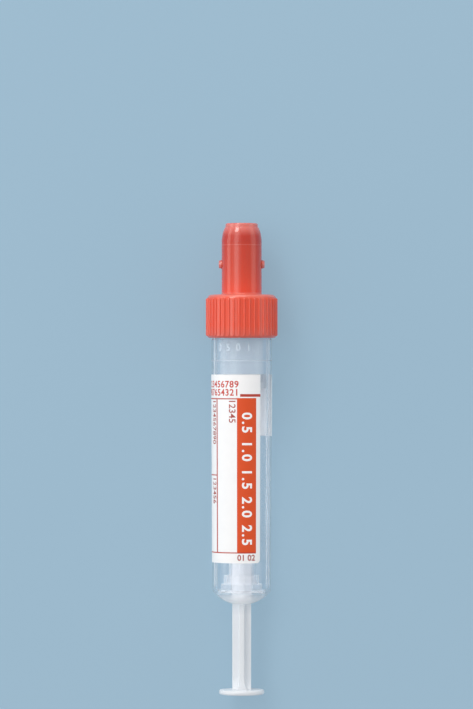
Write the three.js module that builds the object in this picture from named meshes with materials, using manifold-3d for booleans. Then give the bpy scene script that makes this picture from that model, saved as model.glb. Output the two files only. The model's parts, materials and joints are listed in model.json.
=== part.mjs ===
// Aspiration blood collection tube, in millimetres. A clear tube holds a cup-shaped piston. A
// cross-shaped rod draws the piston down through a hole in the tube's domed base, and a ribbed
// screw cap with a slim needle neck and a rubber membrane closes the top.
//
// Every piece is built upright on one axis: +Z up that axis, zero at the rim of the hole in the
// base, -Y to the front. The whole is then laid down as it comes to rest, cap towards +Y and
// front upwards, on two ribs of the cap and the lower corner of the tube.
import * as THREE from 'three';
import { mergeVertices } from 'three/addons/utils/BufferGeometryUtils.js';
import Module from 'manifold-3d';

const wasm = await Module();
wasm.setup();

// Tube, with a little draft so that it leaves its mould
const TUBE_LENGTH = 65;
const TUBE_RADIUS = 6.5; // outside, just below the cap
const TUBE_DRAFT = 0.19; // how much smaller the outside is at the lower corner
const TUBE_WALL = 0.9; // at the rim, under the mouth's step
const BORE_DRAFT = 0.1;
const CORNER_HEIGHT = 2.9; // where the straight wall ends above the base
const CORNER_RADIUS = 0.7;
const CORNER_TURN = 60; // degrees of the corner's arc, before the domed base takes over
const BASE_THICKNESS = 1.1;
const FLOOR_ROUND = 0.6;
const LINE_DROP = 12.6; // from the rim to a fine moulded line round the outside
const LINE_STEP = 0.05;

// Turret that guides the rod inside the base: a ring, a thin collar and a long sleeve
const RING_SHOULDER = 0.65; // from the collar out to the ring's edge
const RING_TOP = 4.3;
const RING_ROUND = 0.5;
const COLLAR_GAP = 0.4; // from the sleeve out to the collar
const COLLAR_WALL = 0.65;
const COLLAR_TOP = 6.1;
const SLEEVE_WALL = 0.52;

// Mouth of the tube, under the cap, and its screw thread
const MOUTH_STEP = 0.2;
const MOUTH_LENGTH = 8.05;
const MOUTH_CHAMFER = 0.2;
const THREAD_PITCH = 3;
const THREAD_DEPTH = 0.45;
const THREAD_ROOT = 1.1;
const THREAD_CREST = 0.5;
const THREAD_TURNS = 1.4;
const THREAD_START = 5.8; // the tube's thread begins this far below the rim
const THREAD_CLEARANCE = 0.1;
const THREAD_SUNK = 0.2; // how deep the ridge's root lies in its wall
const THREAD_RUN_OUT = 30; // degrees over which each end of the ridge rises out of its wall

// Cap: ribbed skirt, roof, plug that seals in the bore, and the neck
const SKIRT_HEIGHT = 9.35;
const SKIRT_COVER = 7.85; // how much of the tube the skirt hides
const SKIRT_WALL = 0.62;
const SKIRT_TOP_ROUND = 1;
const SKIRT_CHAMFER = 0.35;
const RIB_COUNT = 42;
const RIB_HEIGHT = 0.26;
const RIB_WIDTH = 0.36;
const RIB_SUNK = 0.1; // how deep a rib's foot lies in the skirt
const RIB_MARGIN = 0.75; // from each end of the skirt to the rib's full height
const RIB_SLOPE = 0.35;
const RIM_GAP = 0.1; // between the roof and the tube's rim
const PLUG_LENGTH = 4.5;
const PLUG_WALL = 0.85;
const PLUG_CLEARANCE = 0.07;
const NECK_HEIGHT = 15.35;
const NECK_WALL = 0.78; // round the membrane
const NECK_FILLET = 0.35;
const SHOULDER_DRAW = 0.3; // how far the neck draws in under its shoulder
const SHOULDER_DROP = 3.6;
const SHOULDER_ROUND = 0.75;
const SHOULDER_TURN = 70; // degrees of the shoulder's arc, before the head takes over
const HEAD_DRAW = 0.83; // from the neck's side to the head's
const HEAD_HEIGHT = 0.9;
const HEAD_ROUND = 0.4;
const HEAD_THICKNESS = 1.7; // from the top down to the membrane
const HEAD_LIP = 1.5; // how far the head reaches in over the membrane
const LUG_RADIUS = 1.05;
const LUG_TAPER = 0.25;
const LUG_REACH = 0.6;
const LUG_SUNK = 0.4;
const LUG_DROP = 8.85; // from the top of the neck to the lugs' middle
const LUG_FACETS = 16;

// Rubber membrane in the head of the neck
const MEMBRANE_RADIUS = 3.5;
const MEMBRANE_THICKNESS = 3.6;
const MEMBRANE_DIMPLE_RADIUS = 1.5;
const MEMBRANE_DIMPLE_DEPTH = 0.5;
const MEMBRANE_DIMPLE_BOWL = 0.8; // share of the dimple's depth that is reached half way in
const MEMBRANE_RIM = 1.45; // wall round the hollow at its back
const MEMBRANE_HOLLOW_DEPTH = 1.5;
const MEMBRANE_LEDGE = 0.35; // how far the neck's ledge reaches in under the membrane
const MEMBRANE_CLEARANCE = 0.05;

// Piston: a thin cup, open to the front, with a sealing lip at each end
const PISTON_LENGTH = 12;
const PISTON_CLEARANCE = 0.05; // at the tightest place of the stroke
const PISTON_WALL = 0.65;
const PISTON_RELIEF = 0.15; // how far the wall stands back between its lips
const PISTON_LIP = 1.3;
const PISTON_LIP_CHAMFER = 0.3;
const PISTON_FLOOR = 1.2;
const PISTON_TOP_DROP = 6.7; // from the tube's rim to the piston's front edge at rest
const PISTON_STROKE = 27.5;
const SOCKET_DEPTH = 2.3;
const SOCKET_WALL = 1.1;
const SOCKET_ROOF = 0.6;

// Rod: four fins, a neck that snaps off, a head held in the piston, and the thumb disc
const ROD_SPAN = 4.05;
const FIN_THICKNESS = 1.1;
const ROD_CLEARANCE = 0.08; // between the fins' corners and their guide
const ROD_EXPOSED = 18.5; // from the base to the thumb disc
const SNAP_RADIUS = 0.75;
const SNAP_LENGTH = 0.8;
const ROD_HEAD_RADIUS = 1.4;
const ROD_HEAD_CHAMFER = 0.4;
const ROD_HEAD_CLEARANCE = 0.08;
const DISC_RADIUS = 4.85;
const DISC_THICKNESS = 1;
const DISC_ROUND = 0.35;
const GUSSET_HEIGHT = 2.8; // over which the fins' flanks flare out onto the disc
const GUSSET_REACH = 0.85;

// Paper label, wrapped round the front and stepped round the back to leave a window
const LABEL_DROP = 15.7; // from the rim
const LABEL_BOTTOM = 8.7;
const LABEL_THICKNESS = 0.08;
const LABEL_CLEARANCE = 0.03;
const LABEL_RIGHT_EDGE = 39; // degrees from the front, positive to the right
const LABEL_WINDOW_EDGE = -205;
const LABEL_LEFT_EDGE = -265;
const LABEL_TOP_BAND = 13.3; // height of the band that reaches the left edge
const LABEL_CORNER_RADIUS = 0.9;

// Every round is turned in as many flats as there are ribs, so that the flats of the tube lie
// between the same two ribs as it does on its back.
const FACETS = RIB_COUNT;
const FLAT_SHARE = Math.cos(Math.PI / FACETS); // distance to a flat over distance to a corner
const ARC_STEPS = 4;

// Places and sizes that follow from the ones above
const lineHeight = TUBE_LENGTH - LINE_DROP;
const mouthStart = TUBE_LENGTH - MOUTH_LENGTH;
const mouthRadius = TUBE_RADIUS - MOUTH_STEP;
const tubeRadius = (z) => TUBE_RADIUS - LINE_STEP
  - (TUBE_DRAFT * (lineHeight - z)) / (lineHeight - CORNER_HEIGHT);
const boreRadius = (z) => TUBE_RADIUS - TUBE_WALL
  - (BORE_DRAFT * (TUBE_LENGTH - z)) / (TUBE_LENGTH - CORNER_HEIGHT);
const guideRadius = Math.hypot(ROD_SPAN / 2, FIN_THICKNESS / 2) + ROD_CLEARANCE;
const sleeveRadius = guideRadius + SLEEVE_WALL;
const pistonTop = TUBE_LENGTH - PISTON_TOP_DROP;
const pistonBottom = pistonTop - PISTON_LENGTH;
const sleeveTop = pistonBottom - PISTON_STROKE; // the piston's floor comes down onto the sleeve
const pistonRadius = boreRadius(sleeveTop) - PISTON_CLEARANCE;
const skirtBottom = TUBE_LENGTH - SKIRT_COVER;
const skirtTop = skirtBottom + SKIRT_HEIGHT;
const skirtInside = mouthRadius + THREAD_DEPTH + THREAD_CLEARANCE;
const skirtRadius = skirtInside + SKIRT_WALL;
const ribRadius = skirtRadius + RIB_HEIGHT;
const roofUnderside = TUBE_LENGTH + RIM_GAP;
const neckTop = skirtTop + NECK_HEIGHT;
const pocketRadius = MEMBRANE_RADIUS + MEMBRANE_CLEARANCE;
const neckRadius = pocketRadius + NECK_WALL;
const pocketTop = neckTop - HEAD_THICKNESS;
const pocketBottom = pocketTop - MEMBRANE_THICKNESS - 2 * MEMBRANE_CLEARANCE;
const threadMiddle = TUBE_LENGTH - THREAD_START;
const labelTop = TUBE_LENGTH - LABEL_DROP;

// Points on an arc in a profile plane, from one angle to another in degrees.
function arc(centreR, centreZ, radius, from, to, steps = ARC_STEPS) {
  return Array.from({ length: steps + 1 }, (_, i) => {
    const angle = THREE.MathUtils.degToRad(from + ((to - from) * i) / steps);
    return [centreR + radius * Math.cos(angle), centreZ + radius * Math.sin(angle)];
  });
}

function toManifold(geometry) {
  const bare = new THREE.BufferGeometry();
  bare.setAttribute('position', geometry.getAttribute('position').clone());
  if (geometry.index) bare.setIndex(geometry.index.clone());
  const merged = mergeVertices(bare, 1e-5);
  return new wasm.Manifold(new wasm.Mesh({
    numProp: 3,
    vertProperties: new Float32Array(merged.getAttribute('position').array),
    triVerts: new Uint32Array(merged.index.array),
  }));
}

function toGeometry(solid) {
  const mesh = solid.getMesh();
  const geometry = new THREE.BufferGeometry();
  geometry.setAttribute('position', new THREE.BufferAttribute(mesh.vertProperties, 3));
  geometry.setIndex(new THREE.BufferAttribute(mesh.triVerts, 1));
  return geometry;
}

// A solid turned from a closed outline of [radius, height] points. The outline runs outwards
// along the bottom, up the outside, and back down the inside.
function turned(outline) {
  const points = outline.map(([r, z]) => new THREE.Vector2(r, z));
  if (outline[0][0] > 0 || outline.at(-1)[0] > 0) points.push(points[0].clone());
  const lathe = new THREE.LatheGeometry(points, FACETS, Math.PI / FACETS);
  return toManifold(lathe.rotateX(Math.PI / 2));
}

// A flat outline, extruded up the axis from one height to another.
function raised(shape, bottom, top) {
  const geometry = new THREE.ExtrudeGeometry(shape, {
    depth: top - bottom, bevelEnabled: false, curveSegments: ARC_STEPS,
  });
  return toManifold(geometry.translate(0, 0, bottom));
}

// A helical ridge on a wall: a trapezium swept up the thread's helix, its root sunk into the
// wall and its ends running out into it. Side is 1 for a wall seen from outside, -1 from inside.
function threadRidge(wallRadius, side, middle, fromTurn, toTurn) {
  const steps = Math.round((toTurn - fromTurn) * FACETS);
  const runOut = (FACETS * THREAD_RUN_OUT) / 360;
  const positions = [];
  const index = [];
  for (let i = 0; i <= steps; i += 1) {
    const turn = fromTurn + ((toTurn - fromTurn) * i) / steps;
    const angle = 2 * Math.PI * turn;
    const share = Math.min(1, Math.min(i, steps - i) / runOut);
    const rise = THREE.MathUtils.lerp(-THREAD_SUNK / 2, THREAD_DEPTH, share);
    const section = [
      [wallRadius - side * THREAD_SUNK, -THREAD_ROOT / 2],
      [wallRadius + side * rise, -THREAD_CREST / 2],
      [wallRadius + side * rise, THREAD_CREST / 2],
      [wallRadius - side * THREAD_SUNK, THREAD_ROOT / 2],
    ];
    for (const [r, z] of section) {
      positions.push(r * Math.sin(angle), -r * Math.cos(angle), middle + THREAD_PITCH * turn + z);
    }
  }
  const quad = (a, b, c, d) => (side > 0
    ? index.push(a, b, c, a, c, d)
    : index.push(a, c, b, a, d, c));
  for (let i = 0; i < steps; i += 1) {
    for (let j = 0; j < 4; j += 1) {
      const next = (j + 1) % 4;
      quad(4 * i + j, 4 * i + 4 + j, 4 * i + 4 + next, 4 * i + next);
    }
  }
  const last = 4 * steps;
  quad(0, 1, 2, 3);
  quad(last + 3, last + 2, last + 1, last);
  const geometry = new THREE.BufferGeometry();
  geometry.setAttribute('position', new THREE.Float32BufferAttribute(positions, 3));
  geometry.setIndex(index);
  return toManifold(geometry);
}

// Clear tube: domed base with the rod's hole and turret, tapered wall, threaded mouth.
function makeTube() {
  const baseRadius = tubeRadius(CORNER_HEIGHT);
  const corner = arc(baseRadius - CORNER_RADIUS, CORNER_HEIGHT, CORNER_RADIUS, -CORNER_TURN, 0, 3);
  // The dome is a part of a sphere through the hole's rim, at zero, and the foot of the corner.
  const [footR, footZ] = corner[0];
  const domeCentre = (footR ** 2 + footZ ** 2 - guideRadius ** 2) / (2 * footZ);
  const domeRadius = Math.hypot(guideRadius, domeCentre);
  const angleAt = (r) => -THREE.MathUtils.radToDeg(Math.acos(r / domeRadius));
  const floorHeight = (r) => domeCentre - Math.sqrt((domeRadius - BASE_THICKNESS) ** 2 - r ** 2);
  const floorEdge = boreRadius(CORNER_HEIGHT) - FLOOR_ROUND;
  const wall = turned([
    ...arc(0, domeCentre, domeRadius, angleAt(guideRadius), angleAt(footR), 6),
    ...corner.slice(1),
    [tubeRadius(lineHeight), lineHeight],
    [TUBE_RADIUS, lineHeight + LINE_STEP],
    [TUBE_RADIUS, mouthStart - MOUTH_CHAMFER],
    [mouthRadius, mouthStart],
    [mouthRadius, TUBE_LENGTH - MOUTH_CHAMFER],
    [mouthRadius - MOUTH_CHAMFER, TUBE_LENGTH],
    [boreRadius(TUBE_LENGTH), TUBE_LENGTH],
    ...arc(floorEdge, floorHeight(floorEdge) + FLOOR_ROUND, FLOOR_ROUND, 0, -CORNER_TURN, 2),
    [guideRadius, floorHeight(guideRadius)],
  ]);
  const collarInside = sleeveRadius + COLLAR_GAP;
  const collarRadius = collarInside + COLLAR_WALL;
  const ringRadius = collarRadius + RING_SHOULDER;
  const foot = floorHeight(guideRadius) - BASE_THICKNESS / 2;
  const ringFoot = floorHeight(ringRadius) - BASE_THICKNESS / 2;
  const ring = turned([
    [guideRadius, foot],
    [ringRadius, ringFoot],
    ...arc(ringRadius - RING_ROUND, RING_TOP - RING_ROUND, RING_ROUND, 0, 90, 3),
    [guideRadius, RING_TOP],
  ]);
  const collar = turned([
    [collarInside, RING_TOP - RING_ROUND],
    [collarRadius, RING_TOP - RING_ROUND],
    [collarRadius, COLLAR_TOP],
    [collarInside, COLLAR_TOP],
  ]);
  const sleeve = turned([
    [guideRadius, foot],
    [sleeveRadius, foot],
    [sleeveRadius, sleeveTop],
    [guideRadius, sleeveTop],
  ]);
  const thread = threadRidge(mouthRadius, 1, threadMiddle, 0, THREAD_TURNS);
  return wall.add(ring).add(collar).add(sleeve).add(thread);
}

// Cap in one moulding: ribbed skirt with its inner thread, roof, plug, neck, head and lugs.
function makeCap() {
  const plugRadius = boreRadius(TUBE_LENGTH - PLUG_LENGTH) * FLAT_SHARE - PLUG_CLEARANCE;
  const headRadius = neckRadius - HEAD_DRAW;
  const headFoot = neckTop - HEAD_HEIGHT;
  const openingRadius = MEMBRANE_RADIUS - HEAD_LIP;
  const ledgeRadius = MEMBRANE_RADIUS - MEMBRANE_LEDGE;
  let cap = turned([
    [skirtInside, skirtBottom],
    [skirtRadius - SKIRT_CHAMFER, skirtBottom],
    [skirtRadius, skirtBottom + SKIRT_CHAMFER],
    ...arc(skirtRadius - SKIRT_TOP_ROUND, skirtTop - SKIRT_TOP_ROUND, SKIRT_TOP_ROUND, 0, 90),
    [neckRadius + NECK_FILLET, skirtTop],
    [neckRadius, skirtTop + NECK_FILLET],
    [neckRadius, neckTop - SHOULDER_DROP],
    ...arc(
      neckRadius - SHOULDER_DRAW - SHOULDER_ROUND, headFoot - SHOULDER_ROUND,
      SHOULDER_ROUND, 0, SHOULDER_TURN,
    ),
    [headRadius, headFoot],
    ...arc(headRadius - HEAD_ROUND, neckTop - HEAD_ROUND, HEAD_ROUND, 0, 90),
    [openingRadius, neckTop],
    [openingRadius, pocketTop],
    [pocketRadius, pocketTop],
    [pocketRadius, pocketBottom],
    [ledgeRadius, pocketBottom],
    [ledgeRadius, roofUnderside],
    [plugRadius - PLUG_WALL, roofUnderside],
    [plugRadius - PLUG_WALL, roofUnderside - PLUG_LENGTH],
    [plugRadius - PLUG_WALL / 2, roofUnderside - PLUG_LENGTH],
    [plugRadius, roofUnderside - PLUG_LENGTH + PLUG_WALL / 2],
    [plugRadius, roofUnderside],
    [skirtInside, roofUnderside],
  ]);
  const rib = new THREE.Shape([
    [skirtBottom + RIB_MARGIN - RIB_SLOPE, -RIB_SUNK],
    [skirtBottom + RIB_MARGIN, RIB_HEIGHT],
    [skirtTop - RIB_MARGIN - RIB_SLOPE, RIB_HEIGHT],
    [skirtTop - RIB_MARGIN, -RIB_SUNK],
  ].map(([z, height]) => new THREE.Vector2(skirtRadius + height, z)));
  for (let i = 0; i < RIB_COUNT; i += 1) {
    const geometry = new THREE.ExtrudeGeometry(rib, { depth: RIB_WIDTH, bevelEnabled: false });
    geometry.translate(0, 0, -RIB_WIDTH / 2).rotateX(Math.PI / 2);
    geometry.rotateZ((2 * Math.PI * (i + 0.5)) / RIB_COUNT - Math.PI / 2);
    cap = cap.add(toManifold(geometry));
  }
  for (const side of [-1, 1]) {
    const lug = new THREE.CylinderGeometry(
      LUG_RADIUS - LUG_TAPER, LUG_RADIUS, LUG_REACH + LUG_SUNK, LUG_FACETS,
    );
    lug.rotateZ((-side * Math.PI) / 2);
    lug.translate(side * (neckRadius + (LUG_REACH - LUG_SUNK) / 2), 0, neckTop - LUG_DROP);
    cap = cap.add(toManifold(lug));
  }
  // The cap's thread lies half a pitch from the tube's, and ends half a turn past its start.
  const threadEnd = 0.5;
  return cap.add(threadRidge(
    skirtInside, -1, threadMiddle + THREAD_PITCH / 2, threadEnd - THREAD_TURNS, threadEnd,
  ));
}

// Rubber membrane: a thick disc, dimpled in front where the needle goes in and hollow behind.
function makeMembrane() {
  const top = pocketTop - MEMBRANE_CLEARANCE;
  const bottom = top - MEMBRANE_THICKNESS;
  const hollowRadius = MEMBRANE_RADIUS - MEMBRANE_RIM;
  return turned([
    [0, bottom + MEMBRANE_HOLLOW_DEPTH],
    [hollowRadius, bottom + MEMBRANE_HOLLOW_DEPTH],
    [hollowRadius, bottom],
    [MEMBRANE_RADIUS, bottom],
    [MEMBRANE_RADIUS, top],
    [MEMBRANE_DIMPLE_RADIUS, top],
    [MEMBRANE_DIMPLE_RADIUS / 2, top - MEMBRANE_DIMPLE_DEPTH * MEMBRANE_DIMPLE_BOWL],
    [0, top - MEMBRANE_DIMPLE_DEPTH],
  ]);
}

// Piston: thin wall between two lips, a floor, and the socket that holds the rod's head.
function makePiston() {
  const reliefRadius = pistonRadius - PISTON_RELIEF;
  const inside = reliefRadius - PISTON_WALL;
  const socketRadius = ROD_HEAD_RADIUS + ROD_HEAD_CLEARANCE;
  const socketRoof = pistonBottom + SOCKET_DEPTH;
  return turned([
    [socketRadius, pistonBottom],
    [pistonRadius - PISTON_LIP_CHAMFER, pistonBottom],
    [pistonRadius, pistonBottom + PISTON_LIP_CHAMFER],
    [pistonRadius, pistonBottom + PISTON_LIP],
    [reliefRadius, pistonBottom + PISTON_LIP + PISTON_RELIEF],
    [reliefRadius, pistonTop - PISTON_LIP - PISTON_RELIEF],
    [pistonRadius, pistonTop - PISTON_LIP],
    [pistonRadius, pistonTop - PISTON_LIP_CHAMFER],
    [pistonRadius - PISTON_LIP_CHAMFER, pistonTop],
    [inside + PISTON_LIP_CHAMFER / 2, pistonTop],
    [inside, pistonTop - PISTON_LIP],
    [inside, pistonBottom + PISTON_FLOOR],
    [socketRadius + SOCKET_WALL, pistonBottom + PISTON_FLOOR],
    [socketRadius + SOCKET_WALL, socketRoof + SOCKET_ROOF],
    [0, socketRoof + SOCKET_ROOF],
    [0, socketRoof],
    [socketRadius, socketRoof],
  ]);
}

// Rod in one moulding: fins, snap-off neck, head, thumb disc and the gussets onto it.
function makeRod() {
  const discTop = -ROD_EXPOSED;
  const finTop = pistonBottom - SNAP_LENGTH;
  const headTop = pistonBottom + SOCKET_DEPTH - ROD_HEAD_CLEARANCE;
  const span = ROD_SPAN / 2;
  const fin = FIN_THICKNESS / 2;
  const cross = new THREE.Shape([
    [span, -fin], [span, fin], [fin, fin], [fin, span], [-fin, span], [-fin, fin],
    [-span, fin], [-span, -fin], [-fin, -fin], [-fin, -span], [fin, -span], [fin, -fin],
  ].map(([x, y]) => new THREE.Vector2(x, y)));
  let rod = raised(cross, discTop - DISC_THICKNESS / 2, finTop);
  rod = rod.add(turned([
    [0, discTop - DISC_THICKNESS],
    ...arc(DISC_RADIUS - DISC_ROUND, discTop - DISC_THICKNESS + DISC_ROUND, DISC_ROUND, -90, 0, 2),
    ...arc(DISC_RADIUS - DISC_ROUND, discTop - DISC_ROUND, DISC_ROUND, 0, 90, 2),
    [0, discTop],
  ]));
  rod = rod.add(turned([
    [0, finTop - SNAP_LENGTH],
    [SNAP_RADIUS, finTop - SNAP_LENGTH],
    [SNAP_RADIUS, pistonBottom + ROD_HEAD_CLEARANCE],
    [ROD_HEAD_RADIUS, pistonBottom + ROD_HEAD_CLEARANCE],
    [ROD_HEAD_RADIUS, headTop - ROD_HEAD_CHAMFER],
    [ROD_HEAD_RADIUS - ROD_HEAD_CHAMFER, headTop],
    [0, headTop],
  ]));
  // Across a fin, its two flanks flare out in a quarter of an ellipse down onto the disc.
  const flank = arc(1, 1, 1, -90, -180).map(([share, rise]) => [
    fin + GUSSET_REACH * share, discTop + GUSSET_HEIGHT * rise,
  ]);
  const foot = [fin + GUSSET_REACH, discTop - DISC_THICKNESS / 2];
  const right = [foot, ...flank];
  const left = right.map(([across, z]) => [-across, z]).reverse();
  const flare = new THREE.Shape([...right, ...left].map(([x, z]) => new THREE.Vector2(x, z)));
  for (const turn of [0, Math.PI / 2]) {
    const geometry = new THREE.ExtrudeGeometry(flare, { depth: ROD_SPAN, bevelEnabled: false });
    geometry.translate(0, 0, -span).rotateX(Math.PI / 2).rotateZ(turn);
    rod = rod.add(toManifold(geometry));
  }
  return rod;
}

// Paper label: a skin that follows the tube's flats, from the right edge round the back to the
// left edge. Each station round it has an angle and the label's lower edge there.
function makeLabel() {
  const flat = 360 / FACETS;
  const stepHeight = labelTop - LABEL_TOP_BAND;
  const cornerTurn = THREE.MathUtils.radToDeg(LABEL_CORNER_RADIUS / tubeRadius(LABEL_BOTTOM));
  const stations = [[LABEL_LEFT_EDGE, stepHeight]];
  for (let i = Math.ceil(LABEL_LEFT_EDGE / flat - 0.5); (i + 0.5) * flat < LABEL_RIGHT_EDGE; i += 1) {
    const angle = (i + 0.5) * flat;
    if (angle < LABEL_WINDOW_EDGE) stations.push([angle, stepHeight]);
    else if (angle < LABEL_RIGHT_EDGE - cornerTurn) stations.push([angle, LABEL_BOTTOM]);
  }
  stations.push([LABEL_WINDOW_EDGE, stepHeight], [LABEL_WINDOW_EDGE, LABEL_BOTTOM]);
  for (const [share, lift] of arc(0, 1, 1, -90, 0)) {
    stations.push([
      LABEL_RIGHT_EDGE + (share - 1) * cornerTurn,
      LABEL_BOTTOM + lift * LABEL_CORNER_RADIUS,
    ]);
  }
  stations.sort(([a, low], [b, lower]) => a - b || lower - low);
  // A corner of the skin: at an angle, a height and a distance from the tube's flat.
  const corner = (degrees, z, out) => {
    const offFlat = THREE.MathUtils.degToRad(degrees - flat * Math.round(degrees / flat));
    const r = ((tubeRadius(z) + out) * FLAT_SHARE) / Math.cos(offFlat);
    const angle = THREE.MathUtils.degToRad(degrees);
    return [r * Math.sin(angle), -r * Math.cos(angle), z];
  };
  const outer = LABEL_CLEARANCE + LABEL_THICKNESS;
  const positions = stations.flatMap(([angle, low]) => [
    ...corner(angle, low, LABEL_CLEARANCE),
    ...corner(angle, low, outer),
    ...corner(angle, labelTop, outer),
    ...corner(angle, labelTop, LABEL_CLEARANCE),
  ]);
  const index = [];
  const quad = (a, b, c, d) => index.push(a, b, c, a, c, d);
  for (let i = 0; i < stations.length - 1; i += 1) {
    for (let j = 0; j < 4; j += 1) {
      const next = (j + 1) % 4;
      quad(4 * i + j, 4 * i + 4 + j, 4 * i + 4 + next, 4 * i + next);
    }
  }
  const last = 4 * (stations.length - 1);
  quad(0, 1, 2, 3);
  quad(last + 3, last + 2, last + 1, last);
  const geometry = new THREE.BufferGeometry();
  geometry.setAttribute('position', new THREE.Float32BufferAttribute(positions, 3));
  geometry.setIndex(index);
  return toManifold(geometry);
}

const clearPlastic = new THREE.MeshStandardMaterial({
  color: 0xdfe9f0, roughness: 0.08, metalness: 0, transparent: true, opacity: 0.3,
});
const milkyPlastic = new THREE.MeshStandardMaterial({ color: 0xdbe2e8, roughness: 0.4, metalness: 0 });
const whitePlastic = new THREE.MeshStandardMaterial({ color: 0xe4eaf0, roughness: 0.35, metalness: 0 });
const redPlastic = new THREE.MeshStandardMaterial({ color: 0xe2503f, roughness: 0.3, metalness: 0 });
const rubber = new THREE.MeshStandardMaterial({ color: 0x9a4b42, roughness: 0.7, metalness: 0 });
const paper = new THREE.MeshStandardMaterial({ color: 0xfafafa, roughness: 0.6, metalness: 0 });

const upright = new THREE.Group();
const pieces = [
  ['tube', makeTube(), clearPlastic],
  ['screw_cap', makeCap(), redPlastic],
  ['membrane_stopper', makeMembrane(), rubber],
  ['piston', makePiston(), milkyPlastic],
  ['plunger_rod', makeRod(), whitePlastic],
  ['label', makeLabel(), paper],
];
for (const [name, solid, material] of pieces) {
  const mesh = new THREE.Mesh(toGeometry(solid), material);
  mesh.name = name;
  upright.add(mesh);
}

// Lying down, the axis leans up towards the cap. The ground touches the lower ends of the two
// lowest ribs and the tube's lower corner, or the thumb disc where that stands out further.
const halfPitch = Math.PI / RIB_COUNT;
const ribFoot = skirtBottom + RIB_MARGIN;
const ribRest = ribRadius * Math.cos(halfPitch) + (RIB_WIDTH / 2) * Math.sin(halfPitch);
const lean = Math.min(...[
  [CORNER_HEIGHT, tubeRadius(CORNER_HEIGHT)],
  [-ROD_EXPOSED - DISC_THICKNESS / 2, DISC_RADIUS],
].map(([z, r]) => Math.atan2(ribRest - r * FLAT_SHARE, ribFoot - z)));
upright.rotation.x = lean - Math.PI / 2;

const collectionTube = new THREE.Group();
collectionTube.add(upright);
const box = new THREE.Box3().setFromObject(collectionTube, true);
const centre = box.getCenter(new THREE.Vector3());
upright.position.set(-centre.x, -centre.y, -box.min.z);

export default collectionTube;
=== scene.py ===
"""Draw-back blood collection tube: clear barrel, red screw cap, paper label and white plunger.

Shapes are worked out in millimetres on the upright tube, as [right, forward, up] from the rim of
the hole in its base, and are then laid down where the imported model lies.
"""
import json

import bmesh
import bpy
import numpy as np
from mathutils import Matrix


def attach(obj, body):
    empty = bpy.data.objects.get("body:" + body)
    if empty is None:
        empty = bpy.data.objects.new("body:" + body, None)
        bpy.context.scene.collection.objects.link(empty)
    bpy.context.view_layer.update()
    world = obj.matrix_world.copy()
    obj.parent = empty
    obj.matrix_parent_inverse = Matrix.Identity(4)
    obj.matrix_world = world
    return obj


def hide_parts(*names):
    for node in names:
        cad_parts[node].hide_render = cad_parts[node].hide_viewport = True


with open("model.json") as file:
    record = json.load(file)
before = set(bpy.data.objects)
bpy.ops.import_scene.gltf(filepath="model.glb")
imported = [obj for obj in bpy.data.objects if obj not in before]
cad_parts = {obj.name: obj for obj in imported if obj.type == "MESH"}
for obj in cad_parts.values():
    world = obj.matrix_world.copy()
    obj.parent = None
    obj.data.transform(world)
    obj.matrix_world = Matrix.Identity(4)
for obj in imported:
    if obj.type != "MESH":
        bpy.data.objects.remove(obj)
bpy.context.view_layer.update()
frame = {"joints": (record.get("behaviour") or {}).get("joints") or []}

# ------------------------------------------------------------------ sizes, in millimetres
# Tube: its outside, its bore, the domed base, and the line round it where the taper starts
TUBE_LENGTH = 65.0
TUBE_RADIUS = 6.5
TUBE_DRAFT = 0.19
TUBE_WALL = 0.9
BORE_DRAFT = 0.1
CORNER_HEIGHT = 2.9
CORNER_RADIUS = 0.7
CORNER_TURN = 60.0
BASE_THICKNESS = 1.1
FLOOR_ROUND = 0.6
LINE_HEIGHT = 52.4
LINE_STEP = 0.05
BEAD_HEIGHT = 52.3
BEAD_RADIUS = 0.1
MOUTH_START = 56.95
MOUTH_RADIUS = 6.3

# Guide for the rod inside the base: a long sleeve in a collar, on a ring
GUIDE_RADIUS = 2.1784
SLEEVE_RADIUS = 2.6984
SLEEVE_TOP = 18.75
COLLAR_INSIDE = 3.0984
COLLAR_RADIUS = 3.7484
COLLAR_TOP = 6.1
RING_RADIUS = 4.3984
RING_TOP = 4.3
RING_ROUND = 0.5

# Thread, on the tube's mouth and in the cap's skirt
THREAD_PITCH = 3.0
THREAD_DEPTH = 0.45
THREAD_ROOT = 1.1
THREAD_CREST = 0.5
THREAD_TURNS = 1.4
THREAD_MIDDLE = 59.2
THREAD_RUN_OUT = 30.0  # degrees
THREAD_ROWS = 0.12  # height of the mesh rows that carry it on the tube

# Cap: ribbed skirt, roof and plug, and the neck with its head, membrane pocket and lugs
SKIRT_BOTTOM = 57.15
SKIRT_TOP = 66.5
SKIRT_INSIDE = 6.85
SKIRT_RADIUS = 7.47
SKIRT_TOP_ROUND = 1.0
SKIRT_CHAMFER = 0.35
RIB_COUNT = 42
RIB_HEIGHT = 0.26
RIB_HALF = 0.24
RIB_MARGIN = 0.75
RIB_SLOPE = 0.35
RIB_COLUMNS = [-0.54, -0.36, -0.26, -0.235, -0.18, -0.08, 0.08, 0.18, 0.235, 0.26, 0.36]  # across
CAP_ROWS = 0.14  # height of the mesh rows that carry the ribs and the inner thread
ROOF_UNDERSIDE = 65.1
PLUG_RADIUS = 5.41
PLUG_WALL = 0.85
PLUG_LENGTH = 4.5
NECK_RADIUS = 4.33
NECK_TOP = 81.85
SHOULDER_DROP = 3.6
SHOULDER_FOOT = 79.85
SHOULDER_WIDE = 4.1
SHOULDER_NARROW = 3.64
HEAD_RADIUS = 3.5
HEAD_HEIGHT = 0.9
HEAD_ROUND = 0.4
HEAD_OPENING = 2.0
POCKET_RADIUS = 3.55
POCKET_TOP = 80.15
POCKET_BOTTOM = 76.45
NECK_BORE = 3.15
LUG_RADIUS = 1.05
LUG_TAPER = 0.25
LUG_REACH = 0.6
LUG_SUNK = 0.4
LUG_DROP = 8.85

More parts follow.
